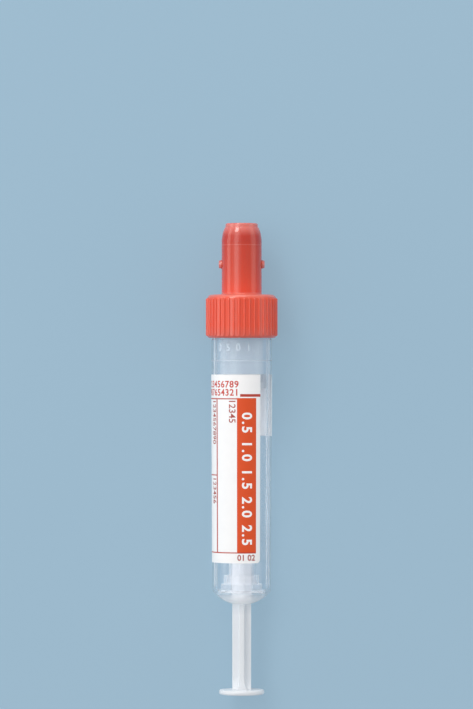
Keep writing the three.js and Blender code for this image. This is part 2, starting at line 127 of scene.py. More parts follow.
# Rubber membrane in the neck's head
MEMBRANE_RADIUS = 3.5
MEMBRANE_TOP = 80.1
MEMBRANE_BOTTOM = 76.5
DIMPLE_RADIUS = 1.5
DIMPLE_DEPTH = 0.5
HOLLOW_RADIUS = 2.05
HOLLOW_DEPTH = 1.5

# Piston: a cup with two lips and the socket for the rod's head
PISTON_RADIUS = 5.476
PISTON_BOTTOM = 46.3
PISTON_TOP = 58.3
PISTON_RELIEF = 0.15
PISTON_WALL = 0.65
PISTON_LIP = 1.3
PISTON_FLOOR = 1.2
SOCKET_RADIUS = 1.48
SOCKET_WALL = 1.1
SOCKET_DEPTH = 2.3
SOCKET_ROOF = 0.6

# Rod: four fins, the neck that snaps off, its head and the thumb disc with its gussets
ROD_SPAN = 4.05
FIN_THICKNESS = 1.1
FIN_ROUND = 0.12
FIN_TOP = 45.5
SNAP_RADIUS = 0.75
SNAP_LENGTH = 0.8
ROD_HEAD_RADIUS = 1.4
ROD_HEAD_BOTTOM = 46.38
ROD_HEAD_TOP = 48.52
DISC_RADIUS = 4.85
DISC_TOP = -18.5
DISC_THICKNESS = 1.0
DISC_ROUND = 0.35
GUSSET_HEIGHT = 2.8
GUSSET_REACH = 0.85

# Label: heights, and degrees from the front with those to the right positive
LABEL_TOP = 49.3
LABEL_BOTTOM = 8.95
LABEL_STEP = 36.0
LABEL_LEFT = -265.0
LABEL_WINDOW = -205.0
LABEL_RIGHT = 37.6
LABEL_CORNER = 0.9
LABEL_BEND = 12.0  # degrees with finer columns, for the round corner
LABEL_CLEARANCE = 0.03
LABEL_THICKNESS = 0.08

# ------------------------------------------------------------------ where the upright tube lies
turn = next(joint for joint in frame["joints"] if joint["name"] == "cap_turn")
AXIS = np.array(turn["axis"]) / np.linalg.norm(turn["axis"])
RIM_CENTRE = np.array(turn["pos_m"])
RIGHT = np.array([1.0, 0.0, 0.0])
FORWARD = np.cross(RIGHT, AXIS)


def laid_down(points):
    """[right, forward, up] in millimetres, turned into metres where the tube lies: the rim's
    centre plus each distance along its own direction."""
    points = np.asarray(points, float) * 0.001
    along = points[:, 2:] - TUBE_LENGTH * 0.001
    return RIM_CENTRE + points[:, :1] * RIGHT + points[:, 1:2] * FORWARD + along * AXIS


# ------------------------------------------------------------------ camera
VIEW_DISTANCE = 0.875  # metres from the tube's axis
VIEW_HEIGHT = 53.6  # millimetres up the tube at the middle of the view
VIEW_SIDE = -1.12
VIEW_TALL = 0.1526  # metres of the scene from the bottom to the top of the view

camera = bpy.data.objects.new("camera", bpy.data.cameras.new("camera"))
bpy.context.scene.collection.objects.link(camera)
bpy.context.scene.camera = camera
camera.data.sensor_width = 36.0
camera.data.lens = 36.0 * VIEW_DISTANCE / VIEW_TALL
camera.data.clip_start = 0.05
seen = laid_down([[VIEW_SIDE, VIEW_DISTANCE * 1000.0, VIEW_HEIGHT]])[0]
placed = np.eye(4)
placed[:3, 0], placed[:3, 1], placed[:3, 2], placed[:3, 3] = RIGHT, AXIS, FORWARD, seen
camera.matrix_world = Matrix(placed.tolist())


# ------------------------------------------------------------------ surfaces
def arc(centre_r, centre_h, radius, start, stop, steps=8):
    """Points of a circle in the outline's plane, from one angle to another in degrees."""
    angle = np.radians(np.linspace(start, stop, steps + 1))
    return np.stack([centre_r + radius * np.cos(angle), centre_h + radius * np.sin(angle)], 1)


def rounded(corners, closed=True, steps=5):
    """An outline through [radius, height, fillet] corners. A fillet of radius f at a corner whose
    sides meet at angle w starts and ends f / tan(w / 2) from it, and its centre lies on the
    corner's bisector, f / sin(w / 2) away."""
    corners = np.asarray(corners, float)
    spot = corners[:, :2]
    line = []
    for i, (point, fillet) in enumerate(zip(spot, corners[:, 2])):
        ends = not closed and i in (0, len(corners) - 1)
        back, on = spot[i - 1] - point, spot[(i + 1) % len(spot)] - point
        reach = min(np.linalg.norm(back), np.linalg.norm(on))
        if ends or fillet <= 0 or reach < 1e-6:
            line.append(point[None])
            continue
        back, on = back / np.linalg.norm(back), on / np.linalg.norm(on)
        half = np.arccos(np.clip(back @ on, -1, 1)) / 2
        if half > np.radians(88):
            line.append(point[None])
            continue
        away = min(fillet / np.tan(half), 0.49 * reach)
        centre = point + (back + on) / np.linalg.norm(back + on) * away / np.cos(half)
        first, last = point + back * away - centre, point + on * away - centre
        spread = np.pi - 2 * half
        share = np.linspace(0, 1, steps + 1)[:, None]
        line.append(centre + (np.sin((1 - share) * spread) * first
                              + np.sin(share * spread) * last) / np.sin(spread))
    return np.concatenate(line)


def dense(outline, low, high, step, closed=True, least=0.0):
    """The same outline, with each stretch that lies between two heights, and no nearer the axis
    than the least radius, cut into equal steps."""
    after = np.roll(outline, -1, axis=0) if closed else outline[1:]
    line = []
    for here, there in zip(outline, after):
        inside = min(here[1], there[1]) >= low - 1e-6 and max(here[1], there[1]) <= high + 1e-6
        inside = inside and min(here[0], there[0]) >= least - 1e-6
        count = int(np.ceil(np.linalg.norm(there - here) / step)) if inside else 1
        share = np.arange(max(count, 1))[:, None] / max(count, 1)
        line.append(here + (there - here) * share)
    if not closed:
        line.append(outline[-1:])
    return np.concatenate(line)


def grid(rows, columns, wrap_rows, wrap_columns, start=0):
    """Quads between neighbours of a grid of rows x columns points, joined end to end if wrapped."""
    number = np.arange(rows * columns).reshape(rows, columns) + start
    if wrap_rows:
        number = np.vstack([number, number[:1]])
    if wrap_columns:
        number = np.hstack([number, number[:, :1]])
    corners = number[:-1, :-1], number[1:, :-1], number[1:, 1:], number[:-1, 1:]
    return np.stack(corners, -1).reshape(-1, 4)


def turned(outline, angles=192, relief=None):
    """Surface of revolution: the point of outline row i at angle a is (r sin a, r cos a, h), where
    r is the row's radius plus relief(radius, height, a). A row on the axis is one pole. Angles are
    given in full, or as the number of equal steps round."""
    outline = np.asarray(outline, float)
    poles = [i for i in (0, len(outline) - 1) if outline[i, 0] < 1e-9]
    rows = np.delete(outline, poles, axis=0)
    angle = np.arange(angles) * 2 * np.pi / angles if isinstance(angles, int) else angles
    columns = len(angle)
    radius, height = rows[:, :1], rows[:, 1:]
    lifted = radius + (relief(radius, height, angle) if relief else 0 * angle)
    points = np.stack([lifted * np.sin(angle), lifted * np.cos(angle),
                       height + 0 * angle], -1).reshape(-1, 3)
    faces = [grid(len(rows), columns, not poles, True).tolist()]
    for pole in poles:
        edge = np.arange(columns) + (0 if pole == 0 else (len(rows) - 1) * columns)
        tip = np.full(columns, len(points))
        points = np.vstack([points, [[0, 0, outline[pole, 1]]]])
        ring = np.roll(edge, -1)
        order = [tip, edge, ring] if pole == 0 else [tip, ring, edge]
        faces.append(np.stack(order, -1).tolist())
    return points, sum(faces, [])


def carried(sections):
    """Surface of a closed section carried along a path: one row of points a section, neighbours
    joined by quads, and the first and last sections closed by one face each."""
    rows, columns = sections.shape[:2]
    faces = grid(rows, columns, False, True).tolist()
    last = (rows - 1) * columns
    faces.append(list(range(columns)))
    faces.append(list(range(last + columns - 1, last - 1, -1)))
    return sections.reshape(-1, 3), faces


def together(*shells):
    """Several closed shells as one mesh."""
    points, faces = [], []
    for shell_points, shell_faces in shells:
        start = sum(map(len, points))
        points.append(shell_points)
        faces += [[start + corner for corner in face] for face in shell_faces]
    return np.vstack(points), faces


def outward(points, faces):
    """The faces, turned round where the shell's signed volume is negative: the sum over its
    triangles of p0 . (p1 x p2) / 6."""
    fans = np.array([(f[0], f[i], f[i + 1]) for f in faces for i in range(1, len(f) - 1)])
    a, b, c = points[fans[:, 0]], points[fans[:, 1]], points[fans[:, 2]]
    volume = np.einsum("ij,ij->", a, np.cross(b, c))
    return faces if volume > 0 else [face[::-1] for face in faces]


def piece(name, shells, body, material, node=None, sharp=35.0, flat=None):
    """A named piece made of closed shells: laid down, faced outwards, and ridden on its body. Where
    flat places are given, a row a point, they become its UV map."""
    laid = [(laid_down(points), faces) for points, faces in shells]
    points, faces = together(*[(p, outward(p, f)) for p, f in laid])
    mesh = bpy.data.meshes.new(name)
    mesh.from_pydata(points.tolist(), [], faces)
    if flat is not None:
        corners = np.zeros(len(mesh.loops), int)
        mesh.loops.foreach_get("vertex_index", corners)
        mesh.uv_layers.new(name="print").data.foreach_set("uv", flat[corners].ravel())
    mesh.polygons.foreach_set("use_smooth", np.ones(len(faces), bool))
    mesh.set_sharp_from_angle(angle=np.radians(sharp))
    mesh.materials.append(material)
    made = bpy.data.objects.new(name, mesh)
    bpy.context.scene.collection.objects.link(made)
    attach(made, body)
    if node:
        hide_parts(node)
    return made


# ------------------------------------------------------------------ finishes
def srgb(red, green, blue, alpha=1.0):
    """A colour of 0 to 255 a channel as the linear values that a shader takes."""
    share = np.array([red, green, blue]) / 255.0
    linear = np.where(share <= 0.04045, share / 12.92, ((share + 0.055) / 1.055) ** 2.4)
    return (*linear.tolist(), alpha)


class Finish:
    """A node material, with short ways to add and join its nodes."""

    def __init__(self, name):
        self.material = bpy.data.materials.new(name)
        self.material.use_nodes = True
        self.nodes = self.material.node_tree.nodes
        self.links = self.material.node_tree.links
        self.shader = self.nodes["Principled BSDF"]
        self.out = self.nodes["Material Output"]
        self.place = self.nodes.new("ShaderNodeTexCoord").outputs["Object"]

    def set(self, **values):
        for socket, value in values.items():
            self.shader.inputs[socket.replace("_", " ")].default_value = value
        return self

    def join(self, source, socket):
        self.links.new(source, socket)

    def math(self, operation, a, b=None, c=None):
        node = self.nodes.new("ShaderNodeMath")
        node.operation = operation
        for socket, value in zip(node.inputs, (a, b, c)):
            if value is None:
                continue
            if isinstance(value, (int, float)):
                socket.default_value = value
            else:
                self.join(value, socket)
        return node.outputs[0]

    def times(self, a, b):
        return self.math("MULTIPLY", a, b)

    def inverse(self, share):
        return self.math("SUBTRACT", 1.0, share)

    def along(self, direction, start=0.0):
        """Millimetres along a direction, counted from start at the centre of the tube's rim."""
        node = self.nodes.new("ShaderNodeVectorMath")
        node.operation = "DOT_PRODUCT"
        self.join(self.place, node.inputs[0])
        node.inputs[1].default_value = direction.tolist()
        away = float(RIM_CENTRE @ direction) * 1000.0 - start
        return self.math("MULTIPLY_ADD", node.outputs["Value"], 1000.0, -away)

    def height(self):
        """Millimetres up the tube from the rim of the hole in its base."""
        return self.along(AXIS, TUBE_LENGTH)

    def from_axis(self):
        """Millimetres from the tube's axis: the root of right squared plus forward squared."""
        squares = [self.math("POWER", self.along(way), 2.0) for way in (RIGHT, FORWARD)]
        return self.math("POWER", self.math("ADD", *squares), 0.5)

    def noise(self, per_metre, detail=2.0, stretch=None):
        """Noise with so many features a metre, stretched along the tube where stretch is given."""
        node = self.nodes.new("ShaderNodeTexNoise")
        node.inputs["Scale"].default_value = per_metre
        node.inputs["Detail"].default_value = detail
        if stretch:
            mapping = self.nodes.new("ShaderNodeMapping")
            mapping.inputs["Scale"].default_value = stretch
            self.join(self.place, mapping.inputs["Vector"])
            self.join(mapping.outputs[0], node.inputs["Vector"])
        else:
            self.join(self.place, node.inputs["Vector"])
        return node.outputs["Fac"]

    def range(self, source, low, high, start=0.3, stop=0.7):
        """From low where the source is at start to high at stop, and no further. The usual start
        and stop are those of a noise."""
        node = self.nodes.new("ShaderNodeMapRange")
        node.inputs["From Min"].default_value = start
        node.inputs["From Max"].default_value = stop
        node.inputs["To Min"].default_value = low
        node.inputs["To Max"].default_value = high
        self.join(source, node.inputs["Value"])
        return node.outputs["Result"]

    def mix(self, share, low, high):
        node = self.nodes.new("ShaderNodeMix")
        node.data_type = "RGBA"
        colours = (node.inputs[0], share), (node.inputs[6], low), (node.inputs[7], high)
        for socket, value in colours:
            if isinstance(value, (int, float, tuple)):
                socket.default_value = value
            else:
                self.join(value, socket)
        return node.outputs[2]

    def skin(self, colour, rough, least, most, grain, depth):
        """Sets the base colour, a roughness from least to most by one noise, and a bump by another
        whose full depth is in millimetres."""
        self.join(colour, self.shader.inputs["Base Color"])
        self.join(self.range(rough, least, most), self.shader.inputs["Roughness"])
        node = self.nodes.new("ShaderNodeBump")
        node.inputs["Strength"].default_value = 1.0
        node.inputs["Distance"].default_value = depth * 0.001
        self.join(grain, node.inputs["Height"])
        self.join(node.outputs[0], self.shader.inputs["Normal"])

    def see_through(self, share, tint=(1, 1, 1, 1), lamps=None, thin=False):
        """Mixes in so much of a clear shader, and another share of it for the lamps' light. A thin
        sheet passes that share of the room's soft light as well."""
        clear = self.nodes.new("ShaderNodeBsdfTransparent")
        clear.inputs["Color"].default_value = tint
        mixed = self.nodes.new("ShaderNodeMixShader")
        if lamps is not None:
            path = self.nodes.new("ShaderNodeLightPath").outputs
            ray = path["Is Shadow Ray"]
            if thin:
                scattered = self.math("GREATER_THAN", path["Diffuse Depth"], 0.5)
                ray = self.math("MAXIMUM", ray, scattered)
            more = self.math("SUBTRACT", lamps, share)
            share = self.math("MULTIPLY_ADD", ray, more, share)
        if isinstance(share, float):
            mixed.inputs["Fac"].default_value = share
        else:
            self.join(share, mixed.inputs["Fac"])
        self.join(self.shader.outputs[0], mixed.inputs[1])
        self.join(clear.outputs[0], mixed.inputs[2])
        self.join(mixed.outputs[0], self.out.inputs["Surface"])


def clear_plastic():
    """Clear polypropylene: glossy, with flow lines along the moulding. The base is milky, and the
    guide in it faintly so. Where it is looked along, the bore is painted white, a painted highlight
    that is partly the haze of the long path through the wall, and the outside is painted grey
    blue, a painted shade. Its walls are thin, so that they hardly bend what is seen through them."""
    finish = Finish("clear_plastic").set(
        IOR=1.08, Coat_Weight=0.6, Coat_IOR=1.5, Coat_Roughness=0.04)
    height, out = finish.height(), finish.from_axis()
    bore_wall = TUBE_RADIUS - TUBE_WALL
    guide = finish.times(
        finish.range(out, 1, 0, RING_RADIUS + 0.1, RING_RADIUS + 0.4),
        finish.range(height, 1, 0, SLEEVE_TOP, SLEEVE_TOP + 1))
    base = finish.range(height, 0.95, 0, CORNER_HEIGHT - 2.4, CORNER_HEIGHT)
    milky = finish.math("MAXIMUM", finish.math("MULTIPLY_ADD", guide, 0.12, 0.02), base)
    outside = finish.times(
        finish.range(out, 0, 1, bore_wall + 0.1, bore_wall + 0.3),
        finish.range(height, 0, 1, CORNER_HEIGHT - 1.0, CORNER_HEIGHT))
    facing = finish.nodes.new("ShaderNodeLayerWeight").outputs["Facing"]
    # Painted highlight: where the bore is seen edge-on it turns solid white. This is partly the
    # haze of the long path through the wall and partly stands in for the light lines of refraction.
    painted_bore_highlight = finish.times(
        finish.times(finish.range(facing, 0, 0.98, 0.6, 0.85), finish.inverse(outside)),
        finish.range(height, 0.15, 1, CORNER_HEIGHT + 0.1, CORNER_HEIGHT + 1.4))
    # Painted shade: where the outside is seen edge-on it turns solid and grey blue, standing in for
    # the dark edge lines of refraction.
    painted_rim_shade = finish.times(finish.range(facing, 0, 0.5, 0.72, 0.92), outside)
    edge = finish.math("ADD", painted_bore_highlight, painted_rim_shade)
    # The base colour turns to the painted grey-blue shade at the outside's edge.
    finish.skin(
        finish.mix(painted_rim_shade, (0.97, 0.98, 1.0, 1.0), srgb(130, 152, 168)),
        finish.noise(260, 3), 0.01, 0.05, finish.noise(900, 2, stretch=(1.0, 0.12, 1.0)), 0.004)
    finish.join(finish.inverse(finish.math("MAXIMUM", edge, milky)),
                finish.shader.inputs["Transmission Weight"])
    finish.see_through(finish.math("MULTIPLY_ADD", edge, -0.1, 0.1), (0.985, 0.99, 0.995, 1.0),
                       lamps=1.0)
    return finish.material


def red_plastic():
    """Coral red polyethylene, waxy and glossy: lighter round the skirt than round the neck, whose
    red darkens towards its top, and darker where the rubber disc stands behind its wall. The
    skirt's rounded top and the head's rim carry painted highlights, the rim lightest with a painted
    glow of light through its thin wall, and the lugs are painted paler, painted light through them."""
    finish = Finish("red_plastic").set(
        Subsurface_Weight=0.2, Subsurface_Radius=(1.0, 0.25, 0.12), Subsurface_Scale=0.0012,
        IOR=1.5, Coat_Weight=0.5, Coat_Roughness=0.1)
    height, out = finish.height(), finish.from_axis()

    def rise(low, high, most=None):
        share = finish.range(height, 0, 1, low, high)
        return share if most is None else finish.times(share, most)

    neck = finish.mix(finish.math("POWER", rise(MEMBRANE_BOTTOM, SKIRT_TOP), 2.0),
                      srgb(203, 60, 36), srgb(232, 72, 38))
    line = MEMBRANE_BOTTOM + 0.65
    line_share = finish.times(rise(line - 0.15, line), finish.inverse(rise(line, line + 0.15)))
    lugs = finish.times(finish.range(out, 0, 1, NECK_RADIUS + 0.05, NECK_RADIUS + 0.3),
                        rise(SKIRT_TOP + 1, SKIRT_TOP + 2))
    colour = finish.mix(finish.noise(300, 3), srgb(231, 78, 48), srgb(236, 84, 54))
    for share, over in [
        (rise(SKIRT_BOTTOM + 2.6, SKIRT_BOTTOM), srgb(220, 94, 76)),  # the skirt's foot
        # Painted highlight: the skirt's rounded top is painted pale pink.
        (rise(SKIRT_TOP - 0.9, SKIRT_TOP - 0.3, 0.7), srgb(228, 128, 112)),  # its rounded top
        (rise(SKIRT_TOP - 0.3, SKIRT_TOP + 0.6), neck),
        (rise(MEMBRANE_BOTTOM, MEMBRANE_BOTTOM + 1.6, 0.5), srgb(184, 36, 22)),  # the membrane
        # Painted highlight: the shoulder and head's rim are painted pale pink, with a painted glow
        # of light through the thin wall.
        (rise(MEMBRANE_TOP - 1.1, NECK_TOP - 0.9, 0.85), srgb(226, 126, 116)),  # the head's rim
        (finish.times(line_share, 0.18), srgb(240, 160, 148)),  # a line by the membrane's foot
        # Painted light: the lugs are painted paler pink, standing in for light shining through
        # them.
        (finish.times(lugs, 0.6), srgb(226, 150, 146)),
    ]:
        colour = finish.mix(share, colour, over)
    finish.skin(colour, finish.noise(1400, 3), 0.15, 0.24, finish.noise(1500, 2), 0.0025)
    return finish.material


def membrane_rubber():
    """Dull red-brown rubber with a fine moulded grain."""
    finish = Finish("membrane_rubber")
    cloud = finish.noise(700, 4)
    finish.skin(finish.mix(cloud, srgb(140, 62, 54), srgb(162, 78, 68)), cloud, 0.6, 0.8,
                finish.noise(3000, 3), 0.02)
    return finish.material


def milky_plastic(name, clear):
    """Thin milky polyethylene. The clear share lets what is behind it show through."""
    finish = Finish(name).set(IOR=1.5)
    cloud = finish.noise(500, 3)
    finish.skin(finish.mix(cloud, srgb(228, 240, 252), srgb(236, 246, 255)), cloud, 0.3, 0.45,
                finish.noise(1500, 2), 0.006)
    finish.see_through(clear)
    return finish.material


def white_plastic():
    """White translucent polyethylene, waxy, with faint draw marks along the fins, clearer where it
    stands in the tube."""
    finish = Finish("white_plastic").set(
        Subsurface_Weight=0.3, Subsurface_Radius=(1.0, 1.0, 1.0), Subsurface_Scale=0.0012, IOR=1.5)
    cloud = finish.noise(350, 3, stretch=(1.0, 0.2, 1.0))
    finish.skin(finish.mix(cloud, srgb(232, 237, 242), srgb(243, 246, 250)), cloud, 0.28, 0.42,
                finish.noise(1800, 2, stretch=(1.0, 0.1, 1.0)), 0.005)
    finish.see_through(finish.range(finish.height(), 0.15, 0.5, -2.5, 1.0), lamps=0.4)
    return finish.material


# ------------------------------------------------------------------ tube
def thread(start_turn, middle):
    """Height of a thread's ridge above its wall, by height h and angle a: full within half the
    crest of the helix h = middle + pitch x turns, down to nothing at half the root, and
    running out at both ends."""
    def relief(height, angle):
        total = 0
        for lap in range(-3, 4):
            turns = angle / (2 * np.pi) + lap
            inside = (turns - start_turn) * (start_turn + THREAD_TURNS - turns)
            ends = np.minimum(turns - start_turn, start_turn + THREAD_TURNS - turns)
            rise = np.clip(ends * 360.0 / THREAD_RUN_OUT, 0, 1) * (inside > 0)
            off = np.abs(height - middle - THREAD_PITCH * turns)
            flank = np.clip((THREAD_ROOT / 2 - off) / (THREAD_ROOT / 2 - THREAD_CREST / 2), 0, 1)
            total = np.maximum(total, THREAD_DEPTH * flank * rise)
        return total
    return relief


def tube_radius(height):
    """Outside radius at a height: TUBE_DRAFT less at the base's corner than at the line."""
    drop = (LINE_HEIGHT - height) / (LINE_HEIGHT - CORNER_HEIGHT)
    return TUBE_RADIUS - LINE_STEP - TUBE_DRAFT * drop


def bore_radius(height):
    """Inside radius at a height: BORE_DRAFT less at the base's corner than at the rim."""
    drop = (TUBE_LENGTH - height) / (TUBE_LENGTH - CORNER_HEIGHT)
    return TUBE_RADIUS - TUBE_WALL - BORE_DRAFT * drop


def tube_shells():
    """One closed outline: dome, corner, tapered wall, stepped mouth, bore, floor, ring, collar and
    sleeve. The dome is part of a sphere through the hole's rim and the foot of the corner."""
    base = tube_radius(CORNER_HEIGHT)
    corner = arc(base - CORNER_RADIUS, CORNER_HEIGHT, CORNER_RADIUS, -CORNER_TURN, 0)
    foot_r, foot_h = corner[0]
    centre = (foot_r ** 2 + foot_h ** 2 - GUIDE_RADIUS ** 2) / (2 * foot_h)
    dome = np.hypot(GUIDE_RADIUS, centre)
    rim_turn, foot_turn = -np.degrees(np.arccos(np.array([GUIDE_RADIUS, foot_r]) / dome))
    inner = dome - BASE_THICKNESS

    def floor(radius):
        return centre - np.sqrt(inner ** 2 - radius ** 2)

    edge = bore_radius(CORNER_HEIGHT) - FLOOR_ROUND
    wall = rounded([
        [tube_radius(LINE_HEIGHT), LINE_HEIGHT, 0],
        [TUBE_RADIUS, LINE_HEIGHT + LINE_STEP, 0.02],
        [TUBE_RADIUS, MOUTH_START - 0.2, 0.1],
        [MOUTH_RADIUS, MOUTH_START, 0.1],
        [MOUTH_RADIUS, TUBE_LENGTH - 0.2, 0.1],
        [MOUTH_RADIUS - 0.2, TUBE_LENGTH, 0.1],
        [bore_radius(TUBE_LENGTH), TUBE_LENGTH, 0.1],
        [bore_radius(CORNER_HEIGHT), floor(edge) + FLOOR_ROUND, 0],
    ], closed=False)
    inside = rounded([
        [edge, floor(edge), 0],
        [RING_RADIUS, floor(RING_RADIUS), 0.15],
        [RING_RADIUS, RING_TOP, RING_ROUND],
        [COLLAR_RADIUS, RING_TOP, 0.1],
        [COLLAR_RADIUS, COLLAR_TOP, 0.12],
        [COLLAR_INSIDE, COLLAR_TOP, 0.12],
        [COLLAR_INSIDE, RING_TOP, 0.08],
        [SLEEVE_RADIUS, RING_TOP, 0.08],
        [SLEEVE_RADIUS, SLEEVE_TOP, 0.12],
        [GUIDE_RADIUS, SLEEVE_TOP, 0.12],
        [GUIDE_RADIUS, 1.0, 0],
    ], closed=False)
    outline = np.concatenate([
        arc(0, centre, dome, rim_turn, foot_turn, 16), corner[1:], wall,
        arc(edge, floor(edge) + FLOOR_ROUND, FLOOR_ROUND, 0, -CORNER_TURN)[1:], inside])
    outline = dense(outline, THREAD_MIDDLE - 1.2, THREAD_MIDDLE + 5.4, THREAD_ROWS)
    ridge = thread(0.0, THREAD_MIDDLE)

    def relief(radius, height, angle):
        mouth = (np.abs(radius - MOUTH_RADIUS) < 0.01) & (height < TUBE_LENGTH - 0.3)
        return ridge(height, angle) * mouth

    return [turned(outline, 252, relief)]


# ------------------------------------------------------------------ cap and membrane
def rib_relief(radius, height, angle):
    """Ribs round the skirt at equal steps: half an ellipse across, and running out in a quarter of
    an ellipse at both ends."""
    pitch = 2 * np.pi / RIB_COUNT
    off = np.abs(angle / pitch % 1.0 - 0.5) * pitch * SKIRT_RADIUS / RIB_HALF
    low = (height - (SKIRT_BOTTOM + RIB_MARGIN - RIB_SLOPE)) / RIB_SLOPE
    high = (SKIRT_TOP - RIB_MARGIN - height) / RIB_SLOPE
    end = np.clip(np.minimum(low, high), 0, 1)
    across = np.sqrt(np.clip(1 - off ** 2, 0, 1))
    return RIB_HEIGHT * across * np.sqrt(end * (2 - end)) * (np.abs(radius - SKIRT_RADIUS) < 0.02)


def cap_shells():
    """The cap's outline, its ribs and inner thread as relief on it, and its two lugs."""
    head_foot = NECK_TOP - HEAD_HEIGHT
    outline = rounded([
        [SKIRT_INSIDE, SKIRT_BOTTOM, 0.1],
        [SKIRT_RADIUS - SKIRT_CHAMFER, SKIRT_BOTTOM, 0.15],
        [SKIRT_RADIUS, SKIRT_BOTTOM + SKIRT_CHAMFER, 0.15],
        [SKIRT_RADIUS, SKIRT_TOP, SKIRT_TOP_ROUND],
        [NECK_RADIUS, SKIRT_TOP, 0.35],
        [NECK_RADIUS, NECK_TOP - SHOULDER_DROP, 3.0],
        [SHOULDER_WIDE, SHOULDER_FOOT, 2.5],
        [SHOULDER_NARROW, head_foot, 0.05],
        [HEAD_RADIUS, head_foot + 0.03, 0.04],
        [HEAD_RADIUS, NECK_TOP, HEAD_ROUND],
        [HEAD_OPENING, NECK_TOP, 0.25],
        [HEAD_OPENING, POCKET_TOP, 0.1],
        [POCKET_RADIUS, POCKET_TOP, 0],
        [POCKET_RADIUS, POCKET_BOTTOM, 0],
        [NECK_BORE, POCKET_BOTTOM, 0.1],
        [NECK_BORE, ROOF_UNDERSIDE, 0.2],
        [PLUG_RADIUS - PLUG_WALL, ROOF_UNDERSIDE, 0],
        [PLUG_RADIUS - PLUG_WALL, ROOF_UNDERSIDE - PLUG_LENGTH, 0.1],
        [PLUG_RADIUS - PLUG_WALL / 2, ROOF_UNDERSIDE - PLUG_LENGTH, 0.1],
        [PLUG_RADIUS, ROOF_UNDERSIDE - PLUG_LENGTH + PLUG_WALL / 2, 0.1],
        [PLUG_RADIUS, ROOF_UNDERSIDE, 0.1],
        [SKIRT_INSIDE, ROOF_UNDERSIDE, 0.2],
    ])
    outline = dense(outline, SKIRT_BOTTOM + 0.3, SKIRT_BOTTOM + 8.9, CAP_ROWS, least=SKIRT_INSIDE)
    ridge = thread(0.5 - THREAD_TURNS, THREAD_MIDDLE + THREAD_PITCH / 2)

    def relief(radius, height, angle):
        inside = (np.abs(radius - SKIRT_INSIDE) < 0.01) & (height > SKIRT_BOTTOM + 0.2)
        return rib_relief(radius, height, angle) - ridge(height, angle) * inside

    across = np.array(RIB_COLUMNS) / SKIRT_RADIUS
    angles = (np.arange(RIB_COUNT)[:, None] + 0.5) * 2 * np.pi / RIB_COUNT + across
    shells = [turned(outline, angles.ravel(), relief)]
    lug = rounded([
        [0, 0, 0], [LUG_RADIUS, 0, 0], [LUG_RADIUS - LUG_TAPER, LUG_REACH + LUG_SUNK, 0.2],
        [0, LUG_REACH + LUG_SUNK, 0]], closed=False)
    for side in (-1, 1):
        points, faces = turned(lug, 32)
        out = side * (NECK_RADIUS - LUG_SUNK + points[:, 2])
        up = NECK_TOP - LUG_DROP + points[:, 1]
        shells.append((np.stack([out, points[:, 0], up], 1), faces))
    return shells


def membrane_shells():
    """A thick disc with a shallow bowl in front and a hollow behind."""
    share = np.linspace(1, 0, 8)
    bowl = np.stack([DIMPLE_RADIUS * share, MEMBRANE_TOP - DIMPLE_DEPTH * (1 - share ** 2)], 1)
    body = rounded([
        [0, MEMBRANE_BOTTOM + HOLLOW_DEPTH, 0],
        [HOLLOW_RADIUS, MEMBRANE_BOTTOM + HOLLOW_DEPTH, 0.3],
        [HOLLOW_RADIUS, MEMBRANE_BOTTOM, 0.15],
        [MEMBRANE_RADIUS, MEMBRANE_BOTTOM, 0.2],
        [MEMBRANE_RADIUS, MEMBRANE_TOP, 0.2],
        [DIMPLE_RADIUS + 0.1, MEMBRANE_TOP, 0],
    ], closed=False)
    return [turned(np.concatenate([body, bowl]), 96)]


# ------------------------------------------------------------------ piston and rod
def piston_shells():
    """A thin cup, open to the front, with a lip at each end and the rod head's socket."""
    relief = PISTON_RADIUS - PISTON_RELIEF
    inside = relief - PISTON_WALL
    roof = PISTON_BOTTOM + SOCKET_DEPTH
    outline = rounded([
        [0, roof, 0],
        [SOCKET_RADIUS, roof, 0.1],
        [SOCKET_RADIUS, PISTON_BOTTOM, 0.1],
        [PISTON_RADIUS, PISTON_BOTTOM, 0.3],
        [PISTON_RADIUS, PISTON_BOTTOM + PISTON_LIP, 0.1],
        [relief, PISTON_BOTTOM + PISTON_LIP + PISTON_RELIEF, 0.1],
        [relief, PISTON_TOP - PISTON_LIP - PISTON_RELIEF, 0.1],
        [PISTON_RADIUS, PISTON_TOP - PISTON_LIP, 0.1],
        [PISTON_RADIUS, PISTON_TOP, 0.3],
        [inside + 0.15, PISTON_TOP, 0.1],
        [inside, PISTON_TOP - PISTON_LIP, 0.4],
        [inside, PISTON_BOTTOM + PISTON_FLOOR, 0.5],
        [SOCKET_RADIUS + SOCKET_WALL, PISTON_BOTTOM + PISTON_FLOOR, 0.3],
        [SOCKET_RADIUS + SOCKET_WALL, roof + SOCKET_ROOF, 0.3],
        [0, roof + SOCKET_ROOF, 0],
    ], closed=False)
    return [turned(outline, 168)]


def cross_section(fin):
    """Outline of a plus sign whose arms are so thick: a quarter turned round four times, with
    rounded tips and a small fillet in each inner corner."""
    span, half = ROD_SPAN / 2, fin / 2
    quarter = rounded([
        [half, -half, 0.1], [span, -half, FIN_ROUND], [span, half, FIN_ROUND], [half, half, 0.1],
        [half, span, FIN_ROUND]], closed=False, steps=4)[1:-1]
    turns = np.arange(4) * np.pi / 2
    turned_by = np.stack([np.cos(turns), -np.sin(turns), np.sin(turns), np.cos(turns)])
    return np.einsum("abt,pb->tpa", turned_by.reshape(2, 2, 4), quarter).reshape(-1, 2)


